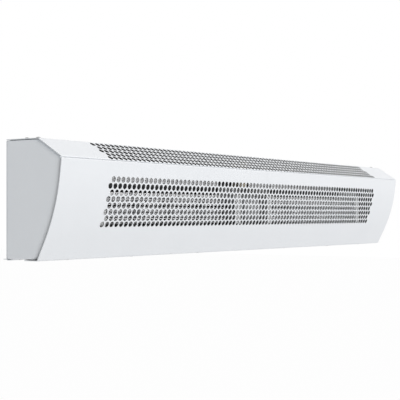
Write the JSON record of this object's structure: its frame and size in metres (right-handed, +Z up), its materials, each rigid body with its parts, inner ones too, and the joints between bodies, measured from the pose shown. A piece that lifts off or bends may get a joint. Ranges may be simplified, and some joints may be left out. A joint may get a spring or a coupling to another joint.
{
  "type": "air curtain",
  "caption": "Slim wall-hung air curtain with a perforated curved front, cross-flow wheels on a central motor and a slot outlet underneath.",
  "frame": {"origin": "on the wall plane, in the middle of the four wall screws", "axes": "X along the casing, Y into the wall, Z up"},
  "size_m": [1.0134, 0.0973, 0.155],
  "materials": {
    "white_enamel": "fine textured white enamel",
    "galvanised": "galvanised sheet",
    "pale_enamel": "pale primer",
    "black_enamel": "satin black",
    "motor_grey": "light grey enamel",
    "zinc_steel": "zinc plated",
    "aluminium": "mill finish",
    "rubber": "matt",
    "bronze": "sintered",
    "heater_steel": "heat-darkened",
    "ceramic": "steatite",
    "black_plastic": "moulded",
    "cream_plastic": "moulded",
    "grey_plastic": "moulded"
  },
  "bodies": {
    "casing": {"top_cover": "white_enamel", "front_panel": "white_enamel", "rear_panel": "white_enamel", "outlet_guard": "black_enamel", "motor_cradle": "galvanised", "motor_stator": "motor_grey", "lower_heater": "heater_steel", "upper_heater": "heater_steel", "heater_bushes": "ceramic", "heater_terminals": "zinc_steel", "thermal_cutout": "black_plastic", "capacitor": "cream_plastic", "relay": "black_plastic", "terminal_block": "cream_plastic", "cable_gland": "grey_plastic", "gland_locknut": "grey_plastic", "cover_screws": "zinc_steel", "lip_screws": "zinc_steel", "rear_screws": "zinc_steel", "left_end_cap": "white_enamel", "left_floor_plate": "white_enamel", "left_wall_bracket": "galvanised", "left_inner_plate": "pale_enamel", "left_outer_plate": "pale_enamel", "left_scroll": "galvanised", "left_vortex_wall": "galvanised", "left_bearing": "bronze", "left_bearing_seat": "rubber", "left_end_shield": "motor_grey", "left_motor_ring": "rubber", "right_end_cap": "white_enamel", "right_floor_plate": "white_enamel", "right_wall_bracket": "galvanised", "right_inner_plate": "pale_enamel", "right_outer_plate": "pale_enamel", "right_scroll": "galvanised", "right_vortex_wall": "galvanised", "right_bearing": "bronze", "right_bearing_seat": "rubber", "right_end_shield": "motor_grey", "right_motor_ring": "rubber"},
    "rotor": {"motor_shaft": "zinc_steel", "rotor_core": "zinc_steel", "left_impeller": "aluminium", "left_hub": "rubber", "left_stub_axle": "zinc_steel", "right_impeller": "aluminium", "right_hub": "rubber", "right_stub_axle": "zinc_steel"}
  },
  "joints": [
    {"name": "wheel_spin", "type": "hinge", "parent": "casing", "child": "rotor", "pos_m": [0, -0.038, -0.01], "axis": [1, 0, 0], "continuous": true}
  ]
}
